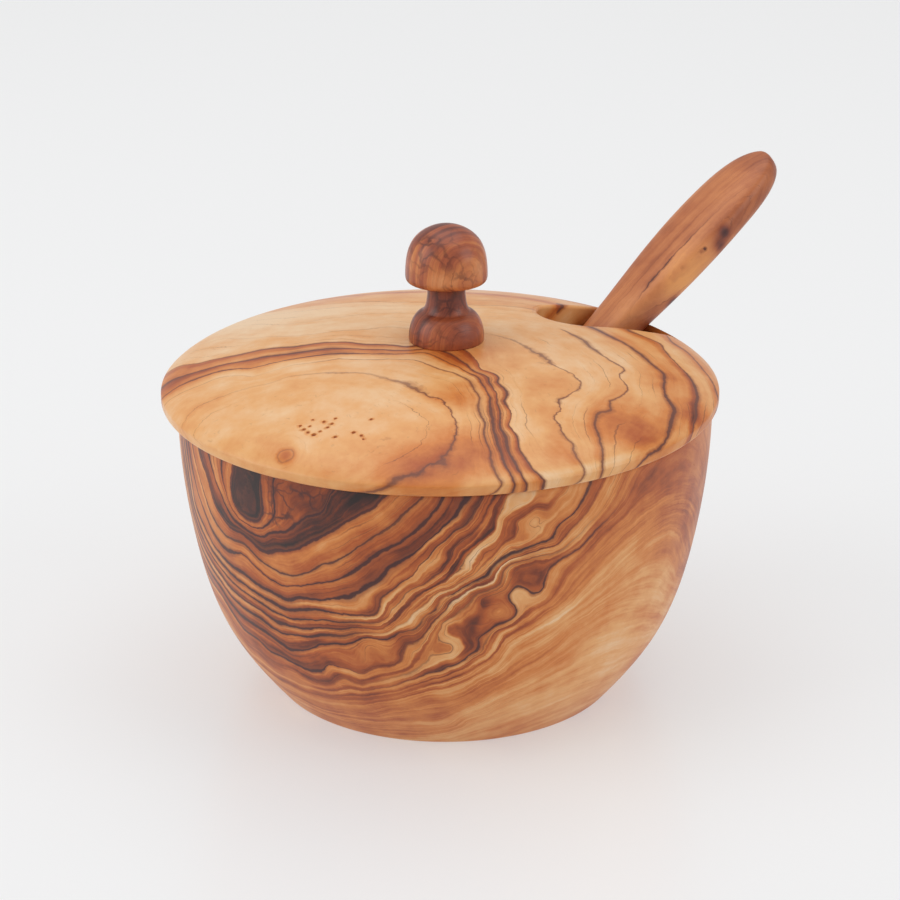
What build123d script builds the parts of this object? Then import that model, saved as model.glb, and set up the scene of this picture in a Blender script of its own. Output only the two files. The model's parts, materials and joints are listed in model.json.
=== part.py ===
from build123d import *
import os
from math import cos, hypot, radians, sin, sqrt

# Turned wooden spice jar: a round bowl, a loose domed lid with a knob, and a carved spoon that
# leans out through a notch in the lid. Millimetres, +Z up, origin at the centre of the foot.

# Bowl, turned from one block
foot_radius = 36.1
foot_edge_round = 1.0
heel_radius = 46.4
heel_height = 14.6
flank_radius = 52.3
flank_height = 33.0
rim_radius = 55.2
rim_height = 62.6
rim_round = 1.2
bowl_wall = 5.4
bowl_floor = 8.0
inside_heel_rise = 2.6
inside_flat_radius = 22.0

# Lid, turned from one board, lying a little to one side within its play
lid_radius = 57.5
lid_rise = 11.6
lid_lip = 2.0
lip_round = 0.7
dome_shoulder_radius = 35.0
dome_shoulder_drop = 1.9
dome_brow_radius = 50.0
dome_brow_drop = 5.8
locating_step_play = 1.3
locating_step_depth = 3.4
locating_step_width = 4.6
hollow_flat_radius = 33.0
lid_middle_thickness = 8.0
lid_shift = 1.0

# Notch sawn into the lid for the spoon, open at the lid's edge
notch_azimuth = 36.7
notch_end_reach = 27.6
notch_end_radius = 8.5
notch_flare = 8.0
notch_corner_round = 2.5

# Knob, turned from a darker wood, and the screw that holds it from inside the lid
knob_shift = 1.3
knob_height = 24.5
knob_foot_radius = 7.7
knob_bead_height = 6.2
knob_shoulder_radius = 5.0
knob_neck_radius = 4.0
knob_neck_height = 8.9
knob_cap_radius = 8.42
knob_cap_height = 11.7
knob_cap_widest_up = 1.6
knob_cap_edge_radius = 8.0
knob_crown_radius = 6.4
knob_crown_drop = 2.8
knob_land_margin = 0.6
knob_cap_undercut = 0.5
screw_radius = 1.75
screw_bite = 0.15
screw_length = 20.0
screw_point = 2.6
screw_end_gap = 0.5
screw_head_radius = 3.5
screw_head_sink = 0.3
screw_slot_width = 1.0
screw_slot_depth = 1.1
screw_hole_clearance = 0.25

# Spoon, carved from one stick, resting on the bowl's floor and on its mouth edge
spoon_lean = 36.0
spoon_side = 3.3
spoon_clearance = 0.5
scoop_length = 30.0
scoop_width = 16.4
scoop_depth = 8.0
scoop_wall = 1.8
neck_width = 8.6
neck_thickness = 6.4
neck_reach = 12.0
stem_width = 10.4
stem_thickness = 8.0
paddle_width = 15.6
paddle_thickness = 8.0
paddle_end = 17.0
handle_beyond_rim = 53.5
handle_bow = 3.0
handle_edge_round = 2.2
neck_crank = 0.2
scoop_lip_step = 0.4
neck_root_swell = 0.3


# Places that several pieces share

mouth_radius = rim_radius - bowl_wall
lid_apex_height = rim_height + lid_rise
lid_centre = Vector(-lid_shift, 0, 0)
knob_centre = Vector(knob_shift - lid_shift, 0, 0)
ceiling_height = lid_apex_height - lid_middle_thickness
notch_direction = Vector(cos(radians(notch_azimuth)), sin(radians(notch_azimuth)), 0)


def bowl():
    """Revolved between an outer and an inner line; the rim's flat top carries the lid."""
    outside = Spline(
        (foot_radius, 0),
        (heel_radius, heel_height),
        (flank_radius, flank_height),
        (rim_radius, rim_height),
        tangents=[(0.64, 0.77), (0, 1)],
    )
    inside = Spline(
        (inside_flat_radius, bowl_floor),
        (heel_radius - bowl_wall, heel_height + inside_heel_rise),
        (flank_radius - bowl_wall, flank_height),
        (mouth_radius, rim_height),
        tangents=[(1, 0), (0, 1)],
    )
    outline = [
        Line((0, 0), (foot_radius, 0)),
        outside,
        Line((rim_radius, rim_height), (mouth_radius, rim_height)),
        inside,
        Line((inside_flat_radius, bowl_floor), (0, bowl_floor)),
        Line((0, bowl_floor), (0, 0)),
    ]
    body = revolve(Plane.XZ * make_face(outline), Axis.Z)
    body = fillet(body.edges().filter_by(GeomType.CIRCLE).group_by(Axis.Z)[-1], rim_round)
    return fillet(body.edges().filter_by(GeomType.CIRCLE).group_by(Axis.Z)[0], foot_edge_round)


def notch_cutter():
    """Plan of the notch, with its mouth corners rounded where it meets the lid's edge."""
    middle = notch_end_reach + notch_end_radius
    flare = radians(notch_flare)
    tangent_reach = middle - notch_end_radius * sin(flare)
    tangent_half = notch_end_radius * cos(flare)
    mouth_reach = 1.5 * lid_radius
    mouth_half = tangent_half + (mouth_reach - tangent_reach) * sin(flare) / cos(flare)
    outline = [
        ThreePointArc((tangent_reach, -tangent_half), (notch_end_reach, 0), (tangent_reach, tangent_half)),
        Line((tangent_reach, tangent_half), (mouth_reach, mouth_half)),
        Line((mouth_reach, mouth_half), (mouth_reach, -mouth_half)),
        Line((mouth_reach, -mouth_half), (tangent_reach, -tangent_half)),
    ]
    kept = Circle(lid_radius) - make_face(outline)
    corners = kept.vertices().sort_by(Axis.X)[-2:]
    kept = fillet(corners, notch_corner_round)
    removed = Circle(2 * lid_radius) - kept
    plan = Location(lid_centre) * Rot(Z=notch_azimuth) * removed
    return extrude(plan, 2 * lid_apex_height)


def lid():
    """Domed board with a lip over the bowl's rim and a step that drops into its mouth."""
    lip_top = rim_height + lid_lip
    step_radius = mouth_radius - locating_step_play
    step_bottom = rim_height - locating_step_depth
    land_radius = knob_foot_radius + knob_shift + knob_land_margin
    dome = Spline(
        (land_radius, lid_apex_height),
        (dome_shoulder_radius, lid_apex_height - dome_shoulder_drop),
        (dome_brow_radius, lid_apex_height - dome_brow_drop),
        (lid_radius, lip_top),
        tangents=[(1, 0), (0.7, -0.7)],
    )
    hollow = Spline(
        (step_radius - locating_step_width, step_bottom),
        (hollow_flat_radius, ceiling_height),
        tangents=[(-0.3, 1), (-1, 0)],
    )
    outline = [
        Line((0, ceiling_height), (0, lid_apex_height)),
        Line((0, lid_apex_height), (land_radius, lid_apex_height)),
        dome,
        Line((lid_radius, lip_top), (lid_radius, rim_height)),
        Line((lid_radius, rim_height), (step_radius, rim_height)),
        Line((step_radius, rim_height), (step_radius, step_bottom)),
        Line((step_radius, step_bottom), (step_radius - locating_step_width, step_bottom)),
        hollow,
        Line((hollow_flat_radius, ceiling_height), (0, ceiling_height)),
    ]
    board = revolve(Plane.XZ * make_face(outline), Axis.Z)
    lip_edges = board.edges().filter_by(GeomType.CIRCLE).sort_by(SortBy.RADIUS)[-2:]
    board = Location(lid_centre) * fillet(lip_edges, lip_round)
    board = board - notch_cutter()
    hole_radius = screw_radius + screw_hole_clearance
    hole = Cylinder(hole_radius, 2 * lid_apex_height)
    sink_depth = screw_head_radius - hole_radius + screw_head_sink
    sink = Cone(
        screw_head_radius + screw_hole_clearance + screw_head_sink,
        hole_radius + screw_hole_clearance,
        sink_depth,
        align=(Align.CENTER, Align.CENTER, Align.MIN),
    )
    board -= Location(knob_centre) * hole
    board -= Location(knob_centre + Vector(0, 0, ceiling_height)) * sink
    return board


def knob():
    """Mushroom cap over a coved neck and a bead foot, with the screw's pilot hole from below."""
    base = lid_apex_height
    cap_bottom = base + knob_height - knob_cap_height
    widest = cap_bottom + knob_cap_widest_up
    bead_top = base + knob_bead_height
    neck = base + knob_neck_height
    top = base + knob_height
    outline = [
        Line((0, base), (knob_foot_radius, base)),
        Spline(
            (knob_foot_radius, base),
            (knob_shoulder_radius, bead_top),
            tangents=[(0.1, 1), (-1, 0.35)],
        ),
        Spline(
            (knob_shoulder_radius, bead_top),
            (knob_neck_radius, neck),
            (knob_shoulder_radius, cap_bottom + knob_cap_undercut),
            tangents=[(-0.7, 0.7), (0.9, 0.5)],
        ),
        Line((knob_shoulder_radius, cap_bottom + knob_cap_undercut), (knob_cap_edge_radius, cap_bottom)),
        Spline(
            (knob_cap_edge_radius, cap_bottom),
            (knob_cap_radius, widest),
            (knob_crown_radius, top - knob_crown_drop),
            (0, top),
            tangents=[(0.8, 0.6), (-1, 0)],
        ),
        Line((0, top), (0, base)),
    ]
    turned = revolve(Plane.XZ * make_face(outline), Axis.Z)
    pilot_depth = screw_length - lid_middle_thickness
    pilot = Cylinder(
        screw_radius - screw_bite,
        pilot_depth,
        align=(Align.CENTER, Align.CENTER, Align.MIN),
    )
    turned -= Location((0, 0, base)) * pilot
    return Location(knob_centre) * turned


def knob_screw():
    """Countersunk wood screw, driven up through the lid into the knob."""
    start = ceiling_height + screw_head_sink
    head_height = screw_head_radius - screw_radius
    tip = ceiling_height + screw_length - screw_end_gap
    outline = Polyline(
        (0, start),
        (screw_head_radius, start),
        (screw_radius, start + head_height),
        (screw_radius, tip - screw_point),
        (0, tip),
        close=True,
    )
    screw = revolve(Plane.XZ * make_face(outline), Axis.Z)
    slot = Box(3 * screw_head_radius, screw_slot_width, 2 * screw_slot_depth)
    return Location(knob_centre) * (screw - Location((0, 0, start)) * slot)


def spoon_blank(neck_at, over_rim_at, paddle_at, end_at):
    """Handle sawn to its plan, then to its side outline, with all long edges rounded over."""
    start_at = scoop_length / 3

    def middle(distance):
        return -handle_bow * ((distance - over_rim_at) / 100) ** 2

    half_widths = [
        (start_at, neck_width / 2 + neck_root_swell),
        (neck_at, neck_width / 2),
        (over_rim_at, stem_width / 2),
        (paddle_at, paddle_width / 2),
        (end_at, 0),
    ]
    left = Spline(half_widths, tangents=[(1, 0), (0, -1)])
    right = Spline([(along, -across) for along, across in half_widths], tangents=[(1, 0), (0, 1)])
    plan = make_face([left, right, Line(right @ 0, left @ 0)])
    top = Spline(
        (start_at, -scoop_lip_step),
        (neck_at, middle(neck_at) + neck_crank + neck_thickness / 2),
        (over_rim_at, stem_thickness / 2),
        (paddle_at, middle(paddle_at) + paddle_thickness / 2),
        (end_at, middle(end_at) + paddle_thickness / 4),
    )
    underside = Spline(
        (start_at, -neck_thickness + scoop_lip_step),
        (neck_at, middle(neck_at) + neck_crank - neck_thickness / 2),
        (over_rim_at, -stem_thickness / 2),
        (paddle_at, middle(paddle_at) - paddle_thickness / 2),
        (end_at, middle(end_at) - paddle_thickness / 4),
    )
    tip = Line(top @ 1, underside @ 1)
    root = Line(underside @ 0, top @ 0)
    side = Plane.XZ * make_face([top, tip, underside, root])
    blank = extrude(plan, scoop_length, both=True) & extrude(side, scoop_length, both=True)
    long_edges = blank.edges().filter_by(lambda edge: edge.length > end_at / 2)
    return fillet(long_edges, handle_edge_round)


def spoon():
    """Oval scoop, slim neck and a stem that widens to a rounded paddle end."""
    lean = radians(spoon_lean)
    half_length = scoop_length / 2
    half_width = scoop_width / 2
    # The stem's middle line passes over the mouth edge at this reach and height
    edge_reach = sqrt((mouth_radius + rim_round) ** 2 - spoon_side**2)
    off_edge = rim_round + spoon_clearance + stem_thickness / 2
    over_rim_reach = edge_reach - off_edge * sin(lean)
    over_rim_height = rim_height - rim_round + off_edge * cos(lean)
    # The scoop's lowest point lies just over the bowl's floor
    scoop_drop = hypot(half_length * sin(lean), scoop_depth * cos(lean))
    scoop_height = bowl_floor + spoon_clearance + scoop_drop
    over_rim_at = (over_rim_height - scoop_height) / sin(lean)
    end_at = over_rim_at + handle_beyond_rim
    handle = spoon_blank(half_length + neck_reach, over_rim_at, end_at - paddle_end, end_at)

    def oval(inset):
        return scale(Sphere(1), by=(half_length - inset, half_width - inset, scoop_depth - inset))

    block = Box(scoop_length, scoop_width, scoop_width, align=(Align.CENTER, Align.CENTER, Align.MAX))
    carved = oval(0) & block
    carved = carved + handle - oval(scoop_wall)
    scoop_reach = over_rim_reach - over_rim_at * cos(lean)
    across = Vector(-notch_direction.Y, notch_direction.X, 0)
    origin = notch_direction * scoop_reach + across * spoon_side + Vector(0, 0, scoop_height)
    return Location(origin) * Rot(Z=notch_azimuth) * Rot(Y=-spoon_lean) * carved


os.makedirs("parts", exist_ok=True)
export_step(bowl(), "parts/bowl.step")
export_step(lid(), "parts/lid.step")
export_step(knob(), "parts/knob.step")
export_step(knob_screw(), "parts/knob_screw.step")
export_step(spoon(), "parts/spoon.step")
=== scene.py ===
import json
from math import atan2, cos, degrees, hypot, pi, radians, sin, sqrt

import bmesh
import bpy
import numpy as np
from mathutils import Matrix, Vector

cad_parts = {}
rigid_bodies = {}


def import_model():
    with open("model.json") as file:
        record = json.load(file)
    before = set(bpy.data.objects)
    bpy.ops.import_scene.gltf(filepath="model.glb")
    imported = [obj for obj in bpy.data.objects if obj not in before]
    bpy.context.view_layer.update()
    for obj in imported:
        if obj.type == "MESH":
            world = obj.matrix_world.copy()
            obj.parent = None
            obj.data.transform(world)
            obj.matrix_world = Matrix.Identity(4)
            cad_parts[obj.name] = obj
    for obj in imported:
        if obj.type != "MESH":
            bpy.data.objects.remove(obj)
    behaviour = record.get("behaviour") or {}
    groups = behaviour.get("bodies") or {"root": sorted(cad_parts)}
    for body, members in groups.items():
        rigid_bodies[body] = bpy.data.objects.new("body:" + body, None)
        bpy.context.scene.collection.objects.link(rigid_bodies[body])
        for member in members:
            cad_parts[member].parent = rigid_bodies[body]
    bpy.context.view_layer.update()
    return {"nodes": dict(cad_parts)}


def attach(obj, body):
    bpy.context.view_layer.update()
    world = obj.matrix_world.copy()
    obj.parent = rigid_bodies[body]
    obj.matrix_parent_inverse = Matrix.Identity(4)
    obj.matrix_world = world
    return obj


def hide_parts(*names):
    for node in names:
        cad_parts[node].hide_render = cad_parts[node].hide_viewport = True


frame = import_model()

# The bowl is turned on a lathe from one block of olive wood, cut across a knot, with a wall a
# little over 5 mm thick. Its outside is sanded and oiled, and it stands on a flat turned foot.

MM = 0.001
foot_radius = 36.1
foot_round = 1.0
foot_flare = Vector((0.64, 0.77))
heel = (46.4, 14.6)
flank = (52.3, 33.0)
rim_radius = 55.2
rim_height = 62.6
rim_round = 1.2
bowl_wall = 5.4
bowl_floor = 8.0
inside_heel_rise = 2.6
inside_flat_radius = 22.0
mouth_radius = rim_radius - bowl_wall
rim_shoulder = rim_height - rim_round


def smooth_line(points, leave, arrive, spacing=0.7):
    """Points along a smooth line through a few given ones, leaving and arriving as told."""
    known = np.array(points, float)
    chord = np.hypot(*np.diff(known, axis=0).T)
    at = np.concatenate([[0], np.cumsum(chord)])
    matrix = np.eye(len(known))
    slope = np.zeros_like(known)
    slope[0] = np.array(leave) / np.hypot(*leave)
    slope[-1] = np.array(arrive) / np.hypot(*arrive)
    for i in range(1, len(known) - 1):
        before, after = chord[i - 1], chord[i]
        matrix[i, i - 1 : i + 2] = after, 2 * (before + after), before
        rise_in = (known[i] - known[i - 1]) * after / before
        rise_out = (known[i + 1] - known[i]) * before / after
        slope[i] = 3 * (rise_in + rise_out)
    slope = np.linalg.solve(matrix, slope)
    line = []
    for i, length in enumerate(chord):
        for t in np.linspace(0, 1, max(2, int(length / spacing)), endpoint=False):
            line.append(
                (2 * t**3 - 3 * t**2 + 1) * known[i]
                + (t**3 - 2 * t**2 + t) * length * slope[i]
                + (3 * t**2 - 2 * t**3) * known[i + 1]
                + (t**3 - t**2) * length * slope[i + 1]
            )
    return line + [known[-1]]


def arc(centre, radius, start, end, steps=6):
    """Points along an arc, by its angles in degrees."""
    angles = np.radians(np.linspace(start, end, steps + 1))
    return [np.array(centre) + radius * np.array((cos(a), sin(a))) for a in angles]


def straight(start, end, spacing=1.0):
    """Points along a straight line, its two ends left out."""
    count = max(2, int(hypot(end[0] - start[0], end[1] - start[1]) / spacing))
    return [np.array(start) + (np.array(end) - start) * i / count for i in range(1, count)]


def deselect():
    """Leaves no object selected."""
    bpy.ops.object.select_all(action="DESELECT")


def face_outwards():
    """Turns all faces of the piece in edit mode outwards, and leaves edit mode."""
    bpy.ops.mesh.select_all(action="SELECT")
    bpy.ops.mesh.normals_make_consistent(inside=False)
    bpy.ops.object.mode_set(mode="OBJECT")


def turned(name, outline, steps):
    """A piece turned on the lathe: its outline, from axis to axis, swept round the upright axis."""
    deselect()
    bpy.ops.mesh.primitive_plane_add(size=MM)
    piece = bpy.context.object
    piece.name = piece.data.name = name
    bpy.ops.object.mode_set(mode="EDIT")
    bpy.ops.mesh.merge(type="CENTER")
    last = (0, 0)
    for number, (radius, height) in enumerate(outline):
        move = ((radius - last[0]) * MM, 0, (height - last[1]) * MM)
        if number:
            bpy.ops.mesh.extrude_vertices_move(TRANSFORM_OT_translate={"value": move})
        else:
            bpy.ops.transform.translate(value=move)
        last = (radius, height)
    bpy.ops.object.mode_set(mode="OBJECT")
    lathe = piece.modifiers.new("lathe", "SCREW")
    lathe.steps = lathe.render_steps = steps
    lathe.use_merge_vertices = True
    lathe.merge_threshold = 0.001 * MM
    bpy.ops.object.modifier_apply(modifier="lathe")
    bpy.ops.object.mode_set(mode="EDIT")
    face_outwards()
    bpy.ops.object.shade_smooth()
    return piece


foot_slope = degrees(atan2(foot_flare.y, foot_flare.x)) - 90
foot_inset = foot_round * (1 - cos(radians(foot_slope + 90))) / sin(radians(foot_slope + 90))
foot_arc = arc((foot_radius - foot_inset, foot_round), foot_round, -90, foot_slope)
outside = smooth_line(
    [foot_arc[-1], heel, flank, (rim_radius, rim_shoulder)],
    leave=foot_flare,
    arrive=(0, 1),
)
inside = smooth_line(
    [
        (mouth_radius, rim_shoulder),
        (flank[0] - bowl_wall, flank[1]),
        (heel[0] - bowl_wall, heel[1] + inside_heel_rise),
        (inside_flat_radius, bowl_floor),
    ],
    leave=(0, -1),
    arrive=(-1, 0),
    spacing=1.0,
)
bowl_outline = (
    [(0, 0)]
    + straight((0, 0), foot_arc[0], spacing=2.0)
    + foot_arc[:-1]
    + outside
    + arc((rim_radius - rim_round, rim_shoulder), rim_round, 0, 90)[1:]
    + straight((rim_radius - rim_round, rim_height), (mouth_radius + rim_round, rim_height))
    + arc((mouth_radius + rim_round, rim_shoulder), rim_round, 90, 180)[:-1]
    + inside
    + straight((inside_flat_radius, bowl_floor), (0, bowl_floor), spacing=2.0)
    + [(0, bowl_floor)]
)
bowl = turned("turned_bowl", bowl_outline, steps=400)
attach(bowl, "bowl")
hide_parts("bowl")


def height_on(line, reach, upright=False):
    """Height of an outline at a distance from the axis, or upright its distance at a height."""
    ordered = sorted((float(h), float(r)) if upright else (float(r), float(h)) for r, h in line)
    return float(np.interp(reach, *zip(*ordered)))


def points_of(piece):
    """Where a piece's points are, in millimetres."""
    places = np.empty(3 * len(piece.data.vertices), np.float32)
    piece.data.vertices.foreach_get("co", places)
    return places.reshape(-1, 3).astype(float) / MM


def paint(piece, name, values):
    """Keeps one value for each point of a piece, for its finish to read."""
    layer = piece.data.attributes.new(name, "FLOAT", "POINT")
    layer.data.foreach_set("value", np.asarray(values, np.float32))


def dabs(points, ground, marks):
    """Brushes soft round marks, each (place, reach, value), one over another on a ground value."""
    values = np.full(len(points), float(ground))
    for place, reach, value in marks:
        distance = np.linalg.norm(points - np.array(place), axis=1)
        values += (value - values) * np.exp(-((distance / reach) ** 2))
    return values


def growth_through(places, levels, points, ease, give=0.4, spread=50, batch=4000):
    """Smooth growth measure that has the given levels at the given places, and its steepness."""
    places = np.array(places, float)
    count = len(places)
    middle = places.mean(axis=0)
    flat = np.hstack([np.ones((count, 1)), (places - middle) / spread])
    apart = np.sqrt(((places[:, None] - places[None]) ** 2).sum(axis=2) + ease**2)
    apart -= give * np.eye(count)
    matrix = np.block([[apart, flat], [flat.T, np.zeros((4, 4))]])
    weights = np.linalg.solve(matrix, np.concatenate([levels, np.zeros(4)]))
    pull, trend = weights[:count], weights[count:]
    growth, steep = [], []
    for part in np.array_split(points, max(1, len(points) // batch)):
        gap = np.sqrt(((part[:, None] - places[None]) ** 2).sum(axis=2) + ease**2)
        growth.append(gap @ pull + trend[0] + (part - middle) @ trend[1:] / spread)
        lean_to = part * ((1 / gap) @ pull)[:, None] - (1 / gap) @ (pull[:, None] * places)
        steep.append(np.linalg.norm(lean_to + trend[1:] / spread, axis=1))
    return np.concatenate(growth), np.concatenate(steep)


def on_bowl(angle, height):
    """A place on the bowl's outside, by its angle from the front towards the right."""
    reach = height_on(outside, height, upright=True)
    return reach * sin(radians(angle)), -reach * cos(radians(angle)), height


# Growth lines as they show on the bowl's outside, from the knot outwards: how far out each one
# is, and the places it passes, as angles from the front and heights.
bowl_lines = [
    (-0.7, [(-42.2, 61), (-42.2, 56), (-42.6, 52.6), (-45.5, 52.2), (-47.8, 54.5), (-46.8, 61)]),
    (0, [(-40.3, 61), (-40.3, 57.5), (-40.3, 54), (-41, 51), (-44, 50.2), (-47.5, 50.9)]),
    (0, [(-49.6, 53.5), (-49.8, 57), (-48.6, 61)]),
    (1, [(-37, 61), (-37, 57), (-37.3, 53), (-38.8, 51), (-44, 49.2), (-50.5, 51.3), (-52.3, 56)]),
    (1, [(-52.3, 61)]),
    (2, [(-57.8, 60.4), (-55.8, 56), (-53.4, 53.4), (-51, 51), (-47, 48.2), (-44, 47.6)]),
    (2, [(-39, 49.3), (-35, 50), (-32.6, 51.6), (-28.2, 55.2), (-25, 56.4), (-22.6, 62)]),
    (3, [(-62.6, 59.4), (-59, 55), (-57, 50), (-55, 48.4), (-51, 46.3), (-46, 46.2), (-41.8, 44)]),
    (3, [(-36.6, 46), (-32.6, 47), (-29.8, 48.4), (-24.2, 51.8), (-20.2, 55), (-15.4, 58.2)]),
    (3, [(-11.4, 62)]),
    (3.5, [(-24, 50.6), (-19, 53.4), (-15.4, 54.4), (-13, 56.2), (-7.4, 62)]),
    (4, [(-33, 40.5), (-27.8, 42.8), (-27, 44.4), (-22.2, 46.2), (-20, 47.5), (-15.6, 51.3)]),
    (4, [(-11.8, 54.4), (-7.8, 58.2), (-3.8, 62)]),
    (5, [(-69, 59), (-67, 53), (-64, 48), (-61, 44.5), (-57.8, 41.6), (-52.6, 40.8)]),
    (5, [(-47.4, 42.2), (-43, 39.4), (-37.4, 38), (-32.6, 39.2), (-27, 40.8), (-23.8, 41.9)]),
    (5, [(-20, 44.2), (-14.8, 48.1), (-9.4, 51), (-5.8, 54.2), (-1.8, 59), (-0.4, 62)]),
    (5.5, [(-36.6, 36.2), (-29, 38.6), (-22.6, 40.2), (-17.8, 42), (-14.2, 46.8), (-10.2, 49.6)]),
    (6, [(-69, 46), (-64.2, 42), (-59.8, 39), (-53.4, 37.2), (-45.4, 35.8), (-35.8, 34.8)]),
    (6, [(-27.8, 36.2), (-21.8, 38.3), (-17, 42), (-11.4, 45), (-7.2, 48.4), (-3.8, 52)]),
    (6, [(1, 56.2), (4.6, 62)]),
    (7, [(-19.4, 34.2), (-14.2, 37.8), (-9.8, 41.6), (-5, 46.2), (-1.8, 49.8), (1.5, 54.4)]),
    (8, [(-13.8, 34), (-9.4, 38.4), (-5, 42), (-1, 45), (2.2, 48), (3.8, 51.6), (7.8, 58)]),
    (8, [(9.8, 61.6), (-28, 32.5), (-40, 30.5)]),
    (9, [(11.4, 61.2), (10, 55), (8, 52), (5.2, 49.2), (3, 44.5), (-3, 41.5), (-7.8, 37.4)]),
    (9, [(-12, 33.6), (-15, 32.2), (-24, 30.5), (-38, 28.6), (-45, 29.5), (-55, 31), (-60, 33)]),
    (11, [(-64, 29.3), (-60, 27.3), (-50, 25), (-44.2, 23.8), (-37.7, 21.7), (-32.4, 24.1)]),
    (11, [(-25.3, 27), (-17.1, 30), (-10, 31.4), (-6.2, 31.7), (-4.2, 34.2), (-1, 37.6)]),
    (11, [(2.6, 41.4), (7, 44.2), (9.8, 44.4), (12.2, 48.2), (17, 49.8), (22.2, 50.8)]),
    (11, [(23.8, 54.4), (27, 56), (29.8, 60.2)]),
    (12, [(-63, 26.7), (-55.3, 21.1), (-46.5, 18.8), (-37.7, 17.8), (-28.9, 18.8), (-20, 20.5)]),
    (12, [(-13.6, 22.6), (-7.7, 26.1), (-5.2, 29.5)]),
    (13, [(-62.3, 21.7), (-52.4, 17.9), (-40, 16.4), (-25.3, 17.6), (-13.6, 20.5), (-6.5, 23.2)]),
    (13, [(-3.6, 28.2), (0.6, 34), (5.4, 40.2), (11, 45.5), (13, 47)]),
    (13.5, [(2.6, 33.2), (5.8, 37.4), (10, 41), (14.6, 44), (19, 46.8)]),
    (13.8, [(7, 34), (9.8, 38.4), (12.5, 40.6)]),
    (13.85, [(11, 34.4), (13.5, 38.8)]),
    (14, [(-60, 14), (-50, 12.5), (-40, 12), (-30, 13), (-20, 15.5), (-12, 18), (0, 22.7)]),
    (14, [(6.4, 25.8), (9.4, 29.6), (14.6, 34.4), (21.4, 39.4), (24.6, 47.2), (32.6, 51.4)]),
    (14, [(42, 61), (50, 65), (58, 66), (68, 64)]),
    (15, [(20, 36), (30, 45), (40, 51), (48, 53.5), (55, 54), (62, 52.5), (70, 48)]),
    (17, [(14, 28), (22, 32), (30, 36), (40, 42.5), (48, 45.5), (55, 46), (62, 43), (70, 35)]),
    (18, [(-60, 9.5), (-45, 8), (-30, 8.5), (-15, 12), (-5, 15.5), (8, 20), (24, 29.5)]),
    (18, [(40, 37.5), (48, 39.5), (56, 38), (65, 31)]),
    (19, [(4, 14), (12, 19), (20, 23.5), (28, 29), (36, 32.5), (44, 33.5), (52, 32)]),
    (20, [(-60, 5), (-40, 4), (-20, 5.5), (0, 8), (10, 14), (28, 22.5), (45, 26), (55, 24)]),
    (21, [(-5, 4), (5, 8.5), (15, 12.5), (25, 16), (35, 18), (45, 18)]),
    (22, [(5, 3), (15, 6), (25, 9), (35, 11)]),
    (14, [(90, 38), (120, 36), (150, 38), (180, 41), (-150, 41), (-125, 38), (-100, 31)]),
    (14, [(-80, 21)]),
    (18, [(90, 22), (135, 19), (180, 21), (-135, 20), (-100, 14)]),
    (12, [(120, 52), (180, 56), (-140, 54), (-80, 34), (-100, 45)]),
    (9, [(-75, 48), (-90, 58), (-78, 60)]),
]


def paint_growth(piece, lines, place_of, growth_range, steep_range, ease=2.0):
    """Paints growth and ring width on a piece from its growth lines, and gives points and growth."""
    places = [place_of(*point) for level, line in lines for point in line]
    levels = [float(level) for level, line in lines for point in line]
    points = points_of(piece)
    growth, steepness = growth_through(places, levels, points, ease)
    growth = np.clip(growth, *growth_range)
    paint(piece, "growth", growth)
    paint(piece, "ring_gap", 1 / np.clip(steepness, *steep_range))
    return points, growth


def from_front(points):
    """Angles of points round the upright axis, from the front towards the right."""
    return np.degrees(np.arctan2(points[:, 0], -points[:, 1]))


def marks_on(place_of, marks):
    """Marks for dabs, whose places are given by their two measures on a piece's outside."""
    return [(place_of(first, second), reach, value) for first, second, reach, value in marks]


bowl_points, growth = paint_growth(
    bowl, bowl_lines, on_bowl, growth_range=(-0.65, 24), steep_range=(0.08, 2)
)
angles = from_front(bowl_points)

# How bold the ring lines are along the growth, at the left and in the flowing figure
figure_start = -30
figure_ease = 16
bold_at_left = [(-1, 0.5), (1, 0.9), (4, 0.7), (6, 1), (9, 0.8), (11, 1), (13, 0.6), (14.5, 0)]
bold_in_figure = [(-1, 0.5), (1, 0.9), (4, 0.6), (6, 1.0), (7, 0.6), (8, 0.5), (9, 0.35), (10.5, 0.2)]
bold_in_figure += [(11, 1.0), (11.6, 0.4), (13, 0.35), (14, 0.8), (14.5, 0)]
to_right = np.clip((angles - figure_start) / figure_ease, 0, 1)
to_right *= np.abs(angles) < 90
bold = (1 - to_right) * np.interp(growth, *zip(*bold_at_left))
bold += to_right * np.interp(growth, *zip(*bold_in_figure))

# Marks painted on the bowl: angle from the front, height, reach and value
lower_left = dabs(bowl_points, 0, marks_on(on_bowl, [(-45, 12, 16, 1), (-20, 12, 14, 0.8)]))
lower_left *= growth > 12.2
quiet = dabs(bowl_points, 0, marks_on(on_bowl, [(46, 58, 13, 1), (66, 54, 18, 1), (90, 50, 20, 1)]))
paint(bowl, "bold", bold * (1 - 0.7 * lower_left) * (1 - quiet))
flamed = [(0, 26, 9, 0.9), (-12, 36, 9, 0.9), (8, 36, 11, 1), (4, 46, 9, 1), (14, 54, 11, 1)]
flamed += [(-32, 28, 9, 0.6), (-25, 18, 7, 0.5)]
paint(bowl, "figure", dabs(bowl_points, 0.05, marks_on(on_bowl, flamed)))
cracked = dabs(bowl_points, 0, marks_on(on_bowl, [(-29, 58, 9, 1), (-35, 54, 5, 1)]))
paint(bowl, "crazing", cracked * np.clip(2.6 - growth, 0, 1))
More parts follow.
